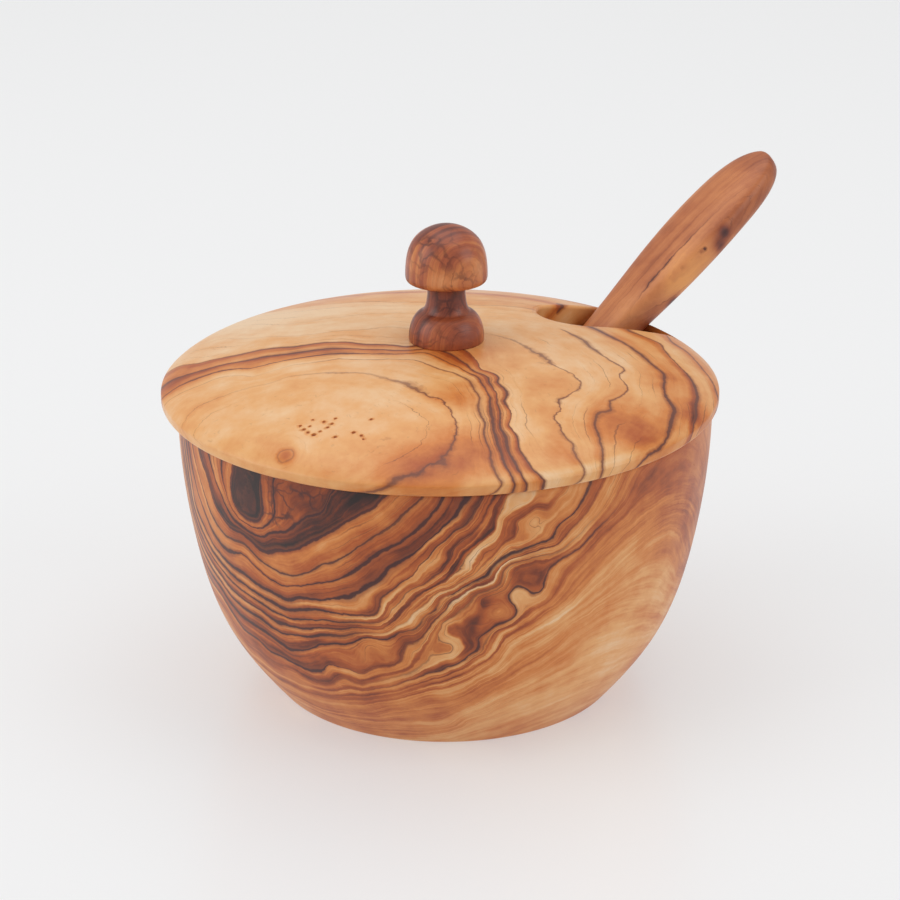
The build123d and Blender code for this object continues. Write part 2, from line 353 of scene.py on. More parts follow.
bowl_tones = [
    (-70, 50, 16, 0.30),
    (-60, 30, 16, 0.34),
    (-40, 10, 18, 0.40),
    (-20, 8, 16, 0.42),
    (10, 8, 16, 0.37),
    (44, 52, 15, 0.50),
    (62, 42, 16, 0.50),
    (34, 34, 13, 0.50),
    (48, 40, 12, 0.52),
    (45, 20, 18, 0.20),
    (58, 28, 9, 0.24),
    (25, 24, 12, 0.32),
    (-45, 56, 8, 0.60),
    (-30, 58, 7, 0.50),
    (-30, 22, 10, 0.44),
    (-10, 28, 7, 0.50),
    (-2, 44, 8, 0.40),
    (12, 50, 9, 0.42),
    (6, 38, 8, 0.46),
]
paint(bowl, "tone", dabs(bowl_points, 0.42, marks_on(on_bowl, bowl_tones)))


def shade(red, green, blue):
    """A colour as the eye reads it on a screen, from 0 to 255, as light."""
    values = [channel / 255 for channel in (red, green, blue)]
    light = [v / 12.92 if v < 0.04045 else ((v + 0.055) / 1.055) ** 2.4 for v in values]
    return (*light, 1)


def new_finish(name):
    """A new material and its node tree."""
    finish = bpy.data.materials.new(name)
    finish.use_nodes = True
    return finish, finish.node_tree


def plug(tree, made, inputs):
    """Links or sets the sockets of a node, by their names or numbers."""
    for socket, value in inputs.items():
        if isinstance(value, bpy.types.NodeSocket):
            tree.links.new(value, made.inputs[socket])
        else:
            made.inputs[socket].default_value = value


def node(tree, kind, inputs, **settings):
    """A new node with its settings and its sockets."""
    made = tree.nodes.new(kind)
    for name, value in settings.items():
        setattr(made, name, value)
    plug(tree, made, inputs)
    return made


def maths(tree, operation, first, second=0.0, third=0.0):
    """A sum on one or more values."""
    values = {0: first, 1: second, 2: third}
    return node(tree, "ShaderNodeMath", values, operation=operation).outputs[0]


def product(tree, first, second):
    """One value times another."""
    return maths(tree, "MULTIPLY", first, second)


def added(tree, ground, value, share):
    """A ground value with a share of another added to it."""
    return maths(tree, "MULTIPLY_ADD", value, share, ground)


def swing(tree, value):
    """A value from 0 to 1, shifted to swing evenly to both sides of nothing."""
    return maths(tree, "SUBTRACT", value, 0.5)


def between(tree, value, low, high, to_low=0.0, to_high=1.0):
    """Eases a value from one range to another, and holds it at the ends."""
    values = {"Value": value, "From Min": low, "From Max": high, "To Min": to_low, "To Max": to_high}
    return node(tree, "ShaderNodeMapRange", values, interpolation_type="SMOOTHSTEP").outputs[0]


def noise(tree, place, scale, detail=2.0, roughness=0.5):
    """Even noise in space, from 0 to 1."""
    values = {"Vector": place, "Scale": scale, "Detail": detail, "Roughness": roughness}
    return node(tree, "ShaderNodeTexNoise", values).outputs[0]


def streaks(tree, place, along, growth, across, detail=2.0):
    """Noise drawn out along the growth lines: coarse along them and fine from one to the next."""
    stretched = node(tree, "ShaderNodeVectorMath", {0: place, 1: (along,) * 3}, operation="MULTIPLY")
    values = {
        "Vector": stretched.outputs[0],
        "W": product(tree, growth, across),
        "Scale": 1.0,
        "Detail": detail,
        "Roughness": 0.5,
    }
    return node(tree, "ShaderNodeTexNoise", values, noise_dimensions="4D").outputs[0]


def ramp(tree, value, stops):
    """Colours along a value."""
    made = node(tree, "ShaderNodeValToRGB", {0: value})
    elements = made.color_ramp.elements
    elements[0].position, elements[0].color = stops[0]
    elements[1].position, elements[1].color = stops[-1]
    for position, colour in stops[1:-1]:
        elements.new(position).color = colour
    return made.outputs[0]


def blend(tree, amount, under, over, kind="MIX"):
    """One colour laid over another."""
    values = {0: amount, 6: under, 7: over}
    return node(tree, "ShaderNodeMix", values, data_type="RGBA", blend_type=kind).outputs[2]


def painted(tree, name):
    """A value painted on the piece's points."""
    return node(tree, "ShaderNodeAttribute", {}, attribute_name=name).outputs["Fac"]


# Tints of the oiled wood from pale to dark: how far along, and red, green and blue
olive_tones = [
    (0.0, 234, 198, 156),
    (0.2, 226, 168, 108),
    (0.4, 208, 128, 62),
    (0.58, 174, 86, 34),
    (0.74, 124, 54, 24),
    (0.87, 72, 34, 26),
    (1.0, 38, 22, 20),
]


def ring_line(tree, growth, count, gap, width):
    """Thin lines along the growth, a number to each ring: 1 on a line and 0 off it."""
    phase = maths(tree, "FRACT", added(tree, 0.5, growth, count))
    off = product(tree, maths(tree, "ABSOLUTE", swing(tree, phase)), gap)
    off = maths(tree, "DIVIDE", off, count)
    return between(tree, off, product(tree, width, 0.45), added(tree, 0.02, width, 1.15), 1.0, 0.0)


def olive_wood(piece, name, bands, tones, line_shade, wander, line_width, streak_depth, polish):
    """Finishes a piece in oiled olive wood: tones along the growth, ring lines, streaks and pores."""
    finish, tree = new_finish(name)
    place = node(tree, "ShaderNodeTexCoord", {}).outputs["Object"]
    gap = painted(tree, "ring_gap")
    bold = painted(tree, "bold")
    figure = painted(tree, "figure")

    # The growth lines waver, and swirl where the wood is figured
    sway = swing(tree, noise(tree, place, 260, 3))
    ripple = swing(tree, noise(tree, place, 900, 2))
    off_line = added(tree, product(tree, sway, wander), ripple, 0.5 * wander)
    growth = maths(tree, "ADD", painted(tree, "growth"), maths(tree, "DIVIDE", off_line, gap))
    swirl = swing(tree, noise(tree, place, 120, 1.5))
    growth = added(tree, growth, product(tree, swirl, figure), 2.6)

    # Tone: bands along the growth, flames in the figure, streaks from wide to fine, and mottle
    start = bands[0][0]
    span = bands[-1][0] - start
    band = ramp(
        tree,
        added(tree, -start / span, growth, 1 / span),
        [((level - start) / span, (tone, tone, tone, 1)) for level, tone in bands],
    )
    strip = maths(tree, "FRACT", growth)
    flame = maths(tree, "SUBTRACT", between(tree, strip, 0.40, 0.48), between(tree, strip, 0.92, 1.0))
    broken = between(tree, streaks(tree, place, 60, growth, 1.4), 0.44, 0.56)
    flame = product(tree, maths(tree, "SUBTRACT", flame, broken), figure)
    tone = added(tree, maths(tree, "ADD", painted(tree, "tone"), band), flame, 0.24)
    for along, across, depth in ((12, 0.55, 1.2), (22, 1.3, 1.1), (55, 4.5, 0.7), (160, 17, 0.35)):
        streak = swing(tree, streaks(tree, place, along, growth, across))
        tone = added(tree, tone, streak, depth * streak_depth)
    tone = added(tree, tone, swing(tree, noise(tree, place, 150, 4, 0.6)), 0.42)
    late = between(tree, strip, 0.45, 1.0)
    tone = added(tree, tone, product(tree, late, bold), 0.16)

    # Ring lines: a main one to each ring, uneven in width, and thinner ones in patches
    own = maths(tree, "FLOOR", maths(tree, "ADD", growth, 0.5))
    uneven = between(tree, streaks(tree, place, 55, own, 3.7), 0.32, 0.68, 0.15, 1.7)
    width = product(tree, product(tree, bold, uneven), line_width)
    main_line = ring_line(tree, growth, 1, gap, width)
    patchy = between(tree, noise(tree, place, 60, 2), 0.45, 0.62)
    thin_width = product(tree, product(tree, width, patchy), 0.4)
    thin_line = product(tree, ring_line(tree, growth, 3, gap, thin_width), patchy)

    # Colour: tones with a blush, then the lines with a soft halo, the cracks and the pores
    colour = ramp(tree, tone, [(at, shade(*tint)) for at, *tint in tones])
    blush = between(tree, noise(tree, place, 30, 2), 0.4, 0.7)
    colour = blend(tree, product(tree, blush, 0.4), colour, (1.0, 0.88, 0.78, 1), "MULTIPLY")
    strength = between(tree, bold, 0.0, 0.9, 0.0, 0.95)
    halo = ring_line(tree, growth, 1, gap, product(tree, width, 2.6))
    halo = product(tree, product(tree, halo, strength), 0.6)
    colour = blend(tree, halo, colour, shade(140, 68, 36))
    colour = blend(tree, product(tree, thin_line, 0.5), colour, shade(104, 54, 34))
    colour = blend(tree, product(tree, main_line, strength), colour, line_shade)
    warp = node(tree, "ShaderNodeTexNoise", {"Vector": place, "Scale": 260.0, "Detail": 3.0})
    bent = {0: warp.outputs["Color"], 1: (0.006,) * 3, 2: place}
    bent = node(tree, "ShaderNodeVectorMath", bent, operation="MULTIPLY_ADD").outputs[0]
    cracks = {"Vector": bent, "Scale": 270.0}
    net = node(tree, "ShaderNodeTexVoronoi", cracks, feature="DISTANCE_TO_EDGE").outputs["Distance"]
    scattered = between(tree, noise(tree, place, 330, 1), 0.3, 0.6)
    cracked = product(tree, painted(tree, "crazing"), scattered)
    net = product(tree, between(tree, net, 0.01, 0.13, 1.0, 0.0), cracked)
    colour = blend(tree, product(tree, net, 0.85), colour, shade(66, 32, 30))
    pores = between(tree, streaks(tree, place, 500, growth, 60, 1), 0.62, 0.78)
    colour = blend(tree, product(tree, pores, 0.16), colour, shade(90, 52, 36))

    # Oiled surface, a little duller in the pores, with lines and pores a touch sunk
    specular, roughness = polish
    gloss = added(tree, roughness, noise(tree, place, 120, 3), 0.14)
    relief = maths(tree, "ADD", product(tree, main_line, 0.6), pores)
    sunken = {"Strength": 0.15, "Distance": 0.03 * MM, "Height": product(tree, relief, -1.0)}
    surface = {
        "Specular IOR Level": specular,
        "Base Color": colour,
        "Roughness": added(tree, gloss, pores, 0.1),
        "Normal": node(tree, "ShaderNodeBump", sunken).outputs[0],
    }
    plug(tree, tree.nodes["Principled BSDF"], surface)
    piece.data.materials.append(finish)


# Tones that go with the growth on the bowl, laid over its painted tone
bowl_bands = [(-1.5, 0.22), (-0.1, 0.24), (0.05, -0.12), (0.8, -0.1), (1.0, 0.0), (1.9, 0.0)]
bowl_bands += [(2.02, 0.40), (2.95, 0.42), (3.02, 0.12), (4.0, 0.08), (5.0, 0.1), (5.5, 0.14)]
bowl_bands += [(6.0, 0.12), (6.1, 0.0), (7.0, -0.06), (7.9, -0.1), (8.05, 0.14), (8.9, 0.18)]
bowl_bands += [(9.1, -0.04), (10.4, 0.0), (11.0, 0.04), (11.1, 0.12), (11.95, 0.16), (12.05, -0.04)]
bowl_bands += [(13.0, 0.0), (24.0, 0.0)]
olive_wood(
    bowl,
    "bowl_olive_wood",
    bowl_bands,
    olive_tones,
    shade(64, 29, 30),
    wander=0.9,
    line_width=0.42,
    streak_depth=0.60,
    polish=(0.45, 0.32),
)

# The lid is a shallow dome, turned from a board of the same wood, with a lip over the bowl's rim
# and a step that drops into its mouth. A notch for the spoon is sawn into its edge and eased, the
# hole for the knob's screw is drilled through it, and small pits show where the wood is pale.

lid_centre = Vector((-1.0, 0, 0))
lid_radius = 57.5
lid_apex = 74.2
lid_lip = 2.0
lip_round = 0.7
lip_tangent = 0.41
dome_shoulder = (35.0, 72.3)
dome_brow = (50.0, 68.4)
land_radius = 9.6
lid_middle = 8.0
step_play = 1.3
step_drop = 3.4
step_width = 4.6
step_ease = 0.5
step_radius = mouth_radius - step_play
step_bottom = rim_height - step_drop
hollow_flat_radius = 33.0
notch_azimuth = 36.7
notch_end_reach = 27.6
notch_end_radius = 8.5
notch_flare = 8.0
notch_corner_round = 2.5
notch_ease = 0.8
pit_radius = 0.42
pit_rise = 0.08
screw_centre = Vector((0.3, 0, 0))
hole_radius = 2.25
sink_radius = 4.05
sink_depth = 1.8
ceiling = lid_apex - lid_middle

lip_arc = arc((lid_radius - lip_round, rim_height + lid_lip - lip_tangent * lip_round), lip_round, 45, 0)
dome = smooth_line(
    [(land_radius, lid_apex), dome_shoulder, dome_brow, lip_arc[0]],
    leave=(1, 0),
    arrive=(1, -1),
)
step_inside = step_radius - step_width
hollow = smooth_line(
    [(step_inside, step_bottom + step_ease), (hollow_flat_radius, ceiling)],
    leave=(-0.3, 1),
    arrive=(-1, 0),
)
lid_outline = (
    [(0, lid_apex)]
    + straight((0, lid_apex), (land_radius, lid_apex), spacing=1.2)
    + dome[:-1]
    + lip_arc
    + arc((lid_radius - lip_round, rim_height + lip_round), lip_round, 0, -90)
    + straight((lid_radius - lip_round, rim_height), (step_radius, rim_height))
    + [(step_radius, rim_height)]
    + straight((step_radius, rim_height), (step_radius, step_bottom + step_ease))
    + arc((step_radius - step_ease, step_bottom + step_ease), step_ease, 0, -90, steps=4)
    + straight((step_radius - step_ease, step_bottom), (step_inside + step_ease, step_bottom))
    + arc((step_inside + step_ease, step_bottom + step_ease), step_ease, -90, -180, steps=4)[:-1]
    + hollow
    + straight((hollow_flat_radius, ceiling), (0, ceiling), spacing=1.6)
    + [(0, ceiling)]
)
lid = turned("domed_lid", lid_outline, steps=400)
lid.data.transform(Matrix.Translation(lid_centre * MM))


def on_lid(x, y):
    """A place on the lid's top, by its distances right of and behind the lid's middle."""
    height = height_on(dome, max(hypot(x, y), land_radius))
    return x + lid_centre.x, y, height


# Growth lines as they show on the lid's top, from the pale heart outwards
lid_lines = [
    (0.5, [(-22, -40), (-8, -40), (-24, -48), (-36, -42), (-42, -34), (-16, -28), (-8, -48)]),
    (0.5, [(-34, -47.5), (-20, -53), (-40, -42.5), (-46, -33), (-24, -45)]),
    (1, [(-30.8, -46), (-29.5, -44.9), (-28.2, -46), (-29.5, -47.1)]),
    (1.4, [(-29.5, -46)]),
    (1, [(-50, -24), (-45, -20.5), (-38, -19), (-30, -17.5), (-22, -18), (-15, -19.5)]),
    (1, [(-10, -23), (-5, -27.5), (-2, -31), (1, -34), (3, -39), (3, -44), (1.5, -49), (-2, -53)]),
    (1, [(-8, -55.5)]),
    (2, [(-55, -13), (-45, -10.5), (-40, -12), (-38, -14.5), (-30, -12), (-20, -11), (-10, -12)]),
    (2, [(-5, -13), (0, -18), (4, -21), (6, -24), (8, -31), (9, -40), (10, -48), (12, -56)]),
    (3, [(-55, -9.5), (-42, -8), (-39, -10), (-30, -9), (-7, -9), (-4, -8), (0, -12), (4, -17)]),
    (3, [(7, -21), (9, -27), (10, -32), (10.2, -38), (10.8, -44), (12, -50), (14, -55)]),
    (4, [(-50, -4), (-35, -5), (-15, -6), (-5, -7), (2.5, -10), (6, -17), (10, -23)]),
    (4, [(11.3, -32), (11.6, -40), (13, -48), (15.5, -54)]),
    (5, [(-50, 1), (-42, -0.5), (-30, -2), (-15, -3.5), (-7, -5), (4, -5.5), (6.5, -11)]),
    (5, [(8, -18), (11, -24), (12.5, -32), (13.2, -40), (15, -47), (17, -52)]),
    (6, [(13, 1), (16, -2), (20, -8), (23, -13), (26, -17), (28, -20.5), (28, -24), (25, -28)]),
    (6, [(24, -33), (23.5, -39), (26, -44), (28, -50)]),
    (6, [(8, 4), (0, 5), (-10, 8), (-20, 6), (-30, 5), (-36, 8), (-45, 15)]),
    (7, [(25, 8), (29, 3), (31, -2), (34, -7), (35.5, -9), (37.5, -11), (36, -15), (37.5, -20)]),
    (7, [(36, -23.5), (33.5, -26.5), (34, -30), (31, -31.5), (30, -36), (31, -42), (31, -48)]),
    (7, [(15, 14), (5, 15.5), (-7, 17), (-15, 17), (-25, 15), (-33, 15), (-38, 20)]),
    (8, [(31, 13), (35, 8), (40, 2), (43, -4), (45.5, -8), (45, -16), (45.4, -20), (47, -24)]),
    (8, [(46, -28), (45, -33), (43, -38), (41, -41)]),
    (8, [(20, 22), (7, 23), (-4, 25), (-10, 26), (-15, 28), (-30, 32)]),
    (9, [(40, 15), (46, 12), (48, 2), (51, -6), (52, -15), (51, -20), (50, -27)]),
    (9, [(40, 27), (25, 32), (0, 40)]),
    (10, [(49, 15), (54, 3), (56.5, -8), (45, 32), (20, 50)]),
]


def pit_cutter(places):
    """Small round solids, one at each place, that leave pits when they are cut away."""
    deselect()
    for place, size in places:
        bpy.ops.mesh.primitive_uv_sphere_add(
            segments=12, ring_count=6, radius=size * pit_radius * MM, location=Vector(place) * MM
        )
        bpy.context.object.name = "pit"
    for shape in bpy.data.objects:
        shape.select_set(shape.name.startswith("pit"))
    bpy.ops.object.join()
    cutter = bpy.context.object
    bpy.ops.object.transform_apply(location=True, rotation=True, scale=True)
    return cutter


def notch_plan():
    """Plan of the notch as points with outward directions, seen along the notch's own line."""
    middle = notch_end_reach + notch_end_radius
    flare = radians(notch_flare)
    plan = []
    side = []
    for turn in np.linspace(0, pi / 2 - flare, 22).tolist():
        away = Vector((-cos(turn), sin(turn)))
        side.append((Vector((middle, 0)) + notch_end_radius * away, away))
    start = side[-1][0]
    along = Vector((cos(flare), sin(flare)))
    away = Vector((-sin(flare), cos(flare)))
    mouth_half = start.y + (lid_radius - start.x) * sin(flare)
    edge_run = (sqrt(lid_radius**2 - mouth_half**2) - start.x) / cos(flare)
    for run in np.linspace(1, edge_run - 1.1 * notch_corner_round, 24).tolist():
        side.append((start + run * along, away))
    corner_centre = side[-1][0] + notch_corner_round * away
    for turn in np.linspace(8, 80, 9).tolist():
        turned_away = Vector((-sin(flare + radians(turn)), cos(flare + radians(turn))))
        side.append((corner_centre - notch_corner_round * turned_away, turned_away))
    last, away = side[-1]
    onward = Vector((away.y, -away.x))
    side += [(last + run * onward, away) for run in (6, 14)]
    for point, away in reversed(side[1:]):
        plan.append((Vector((point.x, -point.y)), Vector((away.x, -away.y))))
    return plan + side


def lofted(rings):
    """A closed solid that runs through rings of places, with as many places in each."""
    deselect()
    bpy.ops.mesh.primitive_circle_add(vertices=len(rings[0]), radius=MM, fill_type="NGON")
    solid = bpy.context.object
    bpy.ops.object.mode_set(mode="EDIT")
    for number, places in enumerate(rings):
        if number:
            bpy.ops.mesh.extrude_region_move(TRANSFORM_OT_translate={"value": (0, 0, MM)})
        mesh = bmesh.from_edit_mesh(solid.data)
        moved = sorted((v for v in mesh.verts if v.select), key=lambda v: v.index)
        for vertex, place in zip(moved, places):
            vertex.co = place
        bmesh.update_edit_mesh(solid.data)
    face_outwards()
    return solid


def notch_cutter(beyond=12.0):
    """Solid that saws the notch and rounds its edges over, above along the dome and below."""
    plan = notch_plan()
    turn = Matrix.Rotation(radians(notch_azimuth), 2)

    def ring(kind, angle, lift=0.0):
        places = []
        for point, away in plan:
            reach = point.length
            over = height_on(dome, min(reach, lid_radius)) if reach > land_radius else lid_apex
            under = height_on(hollow, min(reach, step_inside))
            if reach > step_inside:
                under = step_bottom if reach < step_radius else rim_height
            spread = notch_ease * (1 - cos(radians(angle)))
            depth = notch_ease * sin(radians(angle))
            height = over - notch_ease + depth if kind == "over" else under + notch_ease - depth
            place = turn @ (point + away * spread)
            places.append((Vector((*place, height + lift)) + lid_centre) * MM)
        return places

    rings = [ring("under", 90, -beyond)]
    rings += [ring("under", angle) for angle in range(90, -1, -15)]
    rings += [ring("over", angle) for angle in range(0, 91, 15)]
    return lofted(rings + [ring("over", 90, beyond)])


def combine(piece, other, operation):
    """Joins another solid to a piece, or cuts it out of the piece, and throws the other away."""
    deselect()
    bpy.context.view_layer.objects.active = piece
    piece.select_set(True)
    modifier = piece.modifiers.new("combine", "BOOLEAN")
    modifier.operation = operation
    modifier.solver = "EXACT"
    modifier.object = other
    bpy.ops.object.modifier_apply(modifier="combine")
    bpy.data.objects.remove(other)


# Small pits in the pale wood: right of and behind the lid's middle, and size
pits = [(-27.0, -37.6, 0.8), (-26.2, -39.0, 1.0), (-25.1, -38.2, 0.7), (-25.4, -40.2, 0.9)]
pits += [(-24.2, -41.2, 1.2), (-23.0, -40.4, 0.7), (-22.4, -37.4, 0.9), (-21.6, -39.4, 0.8)]
pits += [(-20.8, -38.4, 0.9), (-20.2, -36.8, 0.8), (-24.6, -36.2, 0.6), (-20.0, -42.8, 0.9)]
pits += [(-16.5, -42.0, 1.0), (-15.0, -43.2, 0.8), (-14.6, -44.4, 0.6), (-13.2, -38.2, 0.8)]
sunk = [(on_lid(x, y), size) for x, y, size in pits]
holes = pit_cutter([((x, y, z + pit_rise), size) for (x, y, z), size in sunk])
overcut = 1
screw_hole = turned(
    "screw_hole",
    [
        (0, ceiling - overcut),
        (sink_radius, ceiling - overcut),
        (sink_radius, ceiling),
        (hole_radius, ceiling + sink_depth),
        (hole_radius, lid_apex + overcut),
        (0, lid_apex + overcut),
    ],
    steps=64,
)
screw_hole.data.transform(Matrix.Translation(screw_centre * MM))
deselect()
saw = notch_cutter()
for part in (saw, holes, screw_hole):
    part.select_set(True)
bpy.context.view_layer.objects.active = saw
bpy.ops.object.join()
combine(lid, saw, "DIFFERENCE")
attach(lid, "lid")
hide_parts("lid")

lid_points, growth = paint_growth(
    lid, lid_lines, on_lid, growth_range=(-1.4, 12), steep_range=(0.06, 3), ease=1.2
)
bold_by_growth = [(-1, 0), (0.8, 0.5), (1, 0.6), (2, 0.6), (3, 0.9), (4, 1.0), (5, 0.9), (6, 0.55)]
bold_by_growth += [(7, 0.6), (8, 1.0), (9, 0.8), (12, 0.5)]
bold = np.interp(growth, *zip(*bold_by_growth))

# The lines fade towards the rear, to the left of the notch
rear_start = -8
rear_ease = 16
notch_side = 24
rear = np.clip((lid_points[:, 1] - rear_start) / rear_ease, 0, 1)
rear *= lid_points[:, 0] < notch_side

# Marks painted on the lid: right of and behind its middle, reach and value
knot = (-29.5, -46)
faded = [(-50, -26, 16, 0.9), (-34, -14, 14, 0.7), (-12, -18, 8, 0.5)]
faded = dabs(lid_points, 0, marks_on(on_lid, faded)) * (growth < 2.6)
small_knot = dabs(lid_points, 0, marks_on(on_lid, [(*knot, 3.5, 0.5)]))
paint(lid, "bold", bold * (1 - 0.7 * rear) * (1 - faded) * (1 - small_knot))
lid_tones = [
    (-10, 30, 30, 0.08),
    (-40, 22, 18, -0.04),
    (30, 20, 16, 0.12),
    (-20, -35, 22, 0.10),
    (-16, -52, 9, 0.30),
    (-2, -53, 8, 0.54),
    (6, -48, 8, 0.46),
    (-40, -38, 10, 0.22),
    (5, -30, 7, 0.36),
    (5, -10, 5, 0.34),
    (20, -30, 12, 0.20),
    (24, -48, 8, 0.30),
    (38, -34, 8, 0.50),
    (46, -10, 6, 0.30),
    (52, -22, 6, 0.42),
    (-54, -5, 8, 0.26),
    (*knot, 1.8, 0.46),
]
# Each pit is painted darker inside, most towards its bottom
pit_darkening = [((x, y, z - 0.35 * size), 0.46 * size, 0.92) for (x, y, z), size in sunk]
tone = dabs(lid_points, 0.14, marks_on(on_lid, lid_tones) + pit_darkening)

# A highlight is painted as a paler tone along the edge's front right: how far out, and at what angle from
# the front
highlight_reach = 56.6
highlight_width = 0.8
highlight_angle = 34
highlight_spread = 26
lid_out = lid_points[:, :2] - np.array(lid_centre[:2])
painted_highlight = np.exp(-(((np.hypot(*lid_out.T) - highlight_reach) / highlight_width) ** 2))
painted_highlight *= np.exp(-(((from_front(lid_out) - highlight_angle) / highlight_spread) ** 2))
paint(lid, "tone", tone - 0.2 * painted_highlight)

# Tones that go with the growth on the lid, laid over its painted tone
lid_bands = [(-1.5, -0.02), (0.9, 0.0), (1.0, 0.05), (2.0, 0.05), (2.6, 0.1), (3.0, 0.16), (3.1, 0.26)]
lid_bands += [(4.0, 0.3), (4.1, 0.16), (4.95, 0.28), (5.05, 0.02), (6.0, 0.0), (7.95, 0.0)]
lid_bands += [(8.05, 0.16), (8.7, 0.16), (8.9, 0.36), (9.1, 0.14), (9.6, 0.10), (10.0, 0.26), (12.0, 0.1)]
olive_wood(
    lid,
    "lid_olive_wood",
    lid_bands,
    olive_tones,
    shade(104, 56, 42),
    wander=0.8,
    line_width=0.28,
    streak_depth=0.26,
    polish=(0.42, 0.26),
)

# The knob is turned from a darker stick of the same wood: a domed cap over a coved neck and a
# bead, glued and screwed to the middle of the lid from inside.

knob_centre = screw_centre
knob_height = 24.5
bead_radius = 7.7
bead_height = 6.2
shoulder_radius = 5.0
neck_radius = 4.0
neck_height = 8.9
cap_radius = 8.42
cap_height = 11.7
cap_widest_up = 1.6
cap_edge_radius = 8.0
crown_radius = 6.4
crown_drop = 2.8
pilot_radius = 1.6
pilot_depth = 12.0
cove_rise = 0.5
knob_pith = (-14, 22)
knob_ring = 1.9

cap_bottom = lid_apex + knob_height - cap_height
bead = smooth_line(
    [(bead_radius, lid_apex), (shoulder_radius, lid_apex + bead_height)],
    leave=(0.1, 1),
    arrive=(-1, 0.35),
    spacing=0.25,
)
cove = smooth_line(
    [
        (shoulder_radius, lid_apex + bead_height),
        (neck_radius, lid_apex + neck_height),
        (shoulder_radius, cap_bottom + cove_rise),
    ],
    leave=(-0.7, 0.7),
    arrive=(0.9, 0.5),
    spacing=0.25,
)
cap = smooth_line(
    [
        (cap_edge_radius, cap_bottom),
        (cap_radius, cap_bottom + cap_widest_up),
        (crown_radius, lid_apex + knob_height - crown_drop),
        (0, lid_apex + knob_height),
    ],
    leave=(0.8, 0.6),
    arrive=(-1, 0),
    spacing=0.25,
)
pilot_top = (pilot_radius, lid_apex + pilot_depth)
pilot_mouth = (pilot_radius, lid_apex)
knob_outline = (
    [(0, lid_apex + pilot_depth), pilot_top]
    + straight(pilot_top, pilot_mouth)
    + [pilot_mouth]
    + straight(pilot_mouth, (bead_radius, lid_apex), spacing=0.6)
    + bead[:-1]
    + cove
    + straight((shoulder_radius, cap_bottom + cove_rise), (cap_edge_radius, cap_bottom), spacing=0.3)
    + cap
)
knob = turned("knob_turning", knob_outline, steps=160)
knob.data.transform(Matrix.Translation(knob_centre * MM))
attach(knob, "lid")
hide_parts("knob")


def paint_stick(piece, points, pith, ring):
    """Paints a straight stick's growth: rings round a pith line that runs up it with a slow sway."""
    sway = np.sin(points[:, 2] / 9.0) * 0.25 + np.sin(points[:, 2] / 23.0 + 1) * 0.6
    paint(piece, "growth", np.hypot(points[:, 0] - pith[0] + sway, points[:, 1] - pith[1]) / ring)
    paint(piece, "ring_gap", np.full(len(points), ring))


knob_points = points_of(knob) - np.array(knob_centre) - np.array((0, 0, lid_apex))
paint_stick(knob, knob_points, knob_pith, knob_ring)

# Marks painted on the knob: place from the middle of its foot, reach and value
paint(knob, "bold", dabs(knob_points, 0.12, [((-6, -4, 4), 6, 0.4), ((5, -5, 3), 5, 0.3)]))
knob_tones_and_highlights = [
    # The lighter left and right sides of the cap, in the first and third marks, are painted highlights
    ((-6.5, -5, 17), 4.5, 0.26),
    ((0.5, -8, 19.5), 4.5, 0.60),
    ((6.5, -5, 17), 4.5, 0.24),
    ((-0.8, -8.4, 14.8), 2.6, 0.06),
    ((1, -2, 25), 5, 0.64),
    ((0, 0, 10), 6, 0.74),
    ((-6, -5, 3), 5, 0.56),
    ((6, -4, 3), 5, 0.52),
    ((0, -7, 1), 4, 0.50),
]
paint(knob, "tone", dabs(knob_points, 0.6, knob_tones_and_highlights))
knob_cracks = [((-3, -5, 21), 5, 0.8), ((3, -8, 14), 3, 0.7)]
knob_cracks += [((0, -4, 9), 4, 0.7), ((-4, -6, 3), 4, 0.6)]
paint(knob, "crazing", dabs(knob_points, 0.15, knob_cracks))
plain_bands = [(-1.5, 0.0), (30.0, 0.0)]
knob_reds = [
    (0.0, 216, 150, 100),
    (0.25, 200, 124, 72),
    (0.5, 166, 88, 56),
    (0.7, 128, 64, 46),
    (0.85, 92, 46, 38),
    (1.0, 58, 32, 30),
]
olive_wood(
    knob,
    "knob_olive_wood",
    plain_bands,
    knob_reds,
    shade(84, 42, 32),
    wander=0.5,
    line_width=0.16,
    streak_depth=0.60,
    polish=(0.42, 0.26),
)

# The knob's screw is a countersunk brass wood screw, driven up from inside the lid into the
# knob. Its shape is the one in the frame, and brushed brass is its finish.

screw_metal, screw_tree = new_finish("screw_brass")
screw_place = node(screw_tree, "ShaderNodeTexCoord", {}).outputs["Object"]
brushed = noise(screw_tree, screw_place, 900, 3)
brass = {
    "Metallic": 1.0,
    "Base Color": blend(screw_tree, brushed, shade(214, 176, 96), shade(168, 128, 62)),
    "Roughness": added(screw_tree, 0.15, brushed, 0.3),
}
plug(screw_tree, screw_tree.nodes["Principled BSDF"], brass)
screw = frame["nodes"]["knob_screw"]
screw.data.materials.clear()
screw.data.materials.append(screw_metal)

# The spoon is carved from one stick: an oval scoop, a slim neck and a flat handle that widens to
# a rounded end. It lies loose in the bowl and leans on the mouth's edge.

spoon_lean = 36.0
spoon_side = 3.3
spoon_clearance = 0.5
scoop_length = 30.0
scoop_width = 16.4
scoop_depth = 8.0
scoop_wall = 1.8
neck_width = 8.6
neck_thickness = 6.4
neck_flare = 0.3
neck_reach = 12.0
stem_width = 10.4
stem_thickness = 8.0
paddle_width = 15.6
paddle_thickness = 8.0
paddle_end = 17.0
handle_beyond_rim = 53.5
handle_bow = 3.0
neck_crank = 0.2
scoop_lip_step = 0.4
tip_run = 6
squareness = 3.0
ring_points = 72
carving_voxel = 0.4
spoon_pith = (22, -16)
spoon_ring = 2.2

